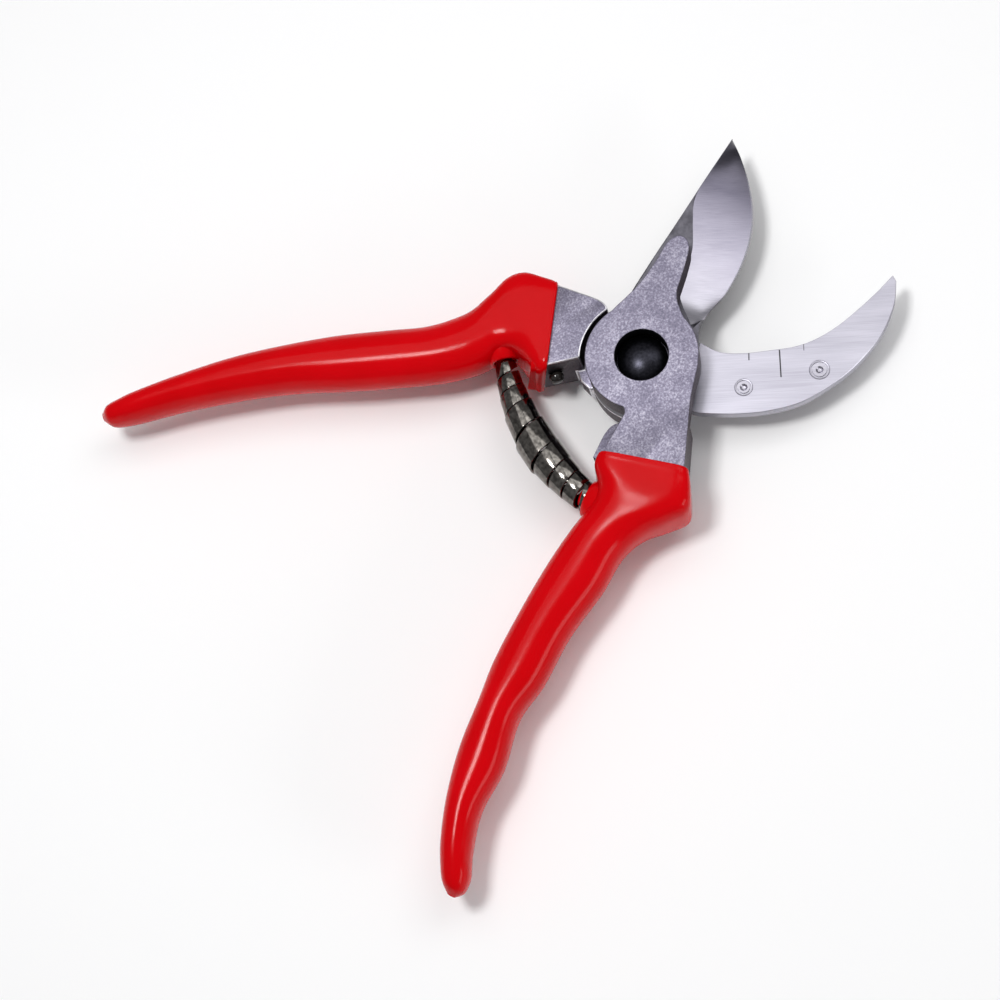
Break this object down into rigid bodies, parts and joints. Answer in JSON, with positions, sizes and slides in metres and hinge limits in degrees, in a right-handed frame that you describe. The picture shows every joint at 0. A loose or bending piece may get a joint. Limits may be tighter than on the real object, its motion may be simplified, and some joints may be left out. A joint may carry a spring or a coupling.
{
  "type": "pruning shears",
  "caption": "Bypass pruning shears with a convex cutting blade, a hooked counter-blade, coated aluminium handles, a volute spring and a locking catch.",
  "frame": {"origin": "on the pivot axis, in the outer face of the pivot nut", "axes": "+Z along the pivot axis towards the bolt's head, +X along the jaws when they are closed, +Y towards the cutting blade"},
  "size_m": [0.1918, 0.1678, 0.024],
  "materials": {
    "forged_aluminium": "tumbled, matt grey",
    "red_pvc_coat": "glossy dip coat",
    "blade_steel": "ground bevel, dark spine",
    "counter_blade_steel": "fine ground",
    "rivet_steel": "ground flush",
    "black_bolt_steel": "black oxide",
    "dark_steel": "oiled",
    "bright_steel": "zinc plated",
    "bumper_rubber": "matt",
    "catch_steel": "black oxide, satin",
    "spring_steel": "nickel plated strip"
  },
  "bodies": {
    "hook_half": {"hook_handle": "forged_aluminium", "hook_handle_grip": "red_pvc_coat", "counter_blade": "counter_blade_steel", "counter_blade_rivets": "rivet_steel", "pivot_bolt": "black_bolt_steel", "pivot_nut": "dark_steel", "locking_segment": "dark_steel", "segment_screw": "bright_steel", "bumper": "bumper_rubber", "catch_pin": "bright_steel", "catch_washer": "bright_steel"},
    "blade_half": {"blade_handle": "forged_aluminium", "blade_handle_grip": "red_pvc_coat", "cutting_blade": "blade_steel", "blade_dowel": "bright_steel", "volute_spring": "spring_steel"},
    "catch": {"thumb_catch": "catch_steel"}
  },
  "joints": [
    {"name": "main_pivot", "type": "hinge", "parent": "hook_half", "child": "blade_half", "pos_m": [0, 0, 0.012], "axis": [0, 0, -1], "range_deg": [0, 52], "stiffness_Nm_per_rad": 1.2, "springref_deg": -17.19, "deforming": ["volute_spring"]},
    {"name": "catch_pivot", "type": "hinge", "parent": "hook_half", "child": "catch", "pos_m": [-0.00857, 0.02053, 0.001], "axis": [0, 0, 1], "range_deg": [0, 80]}
  ]
}
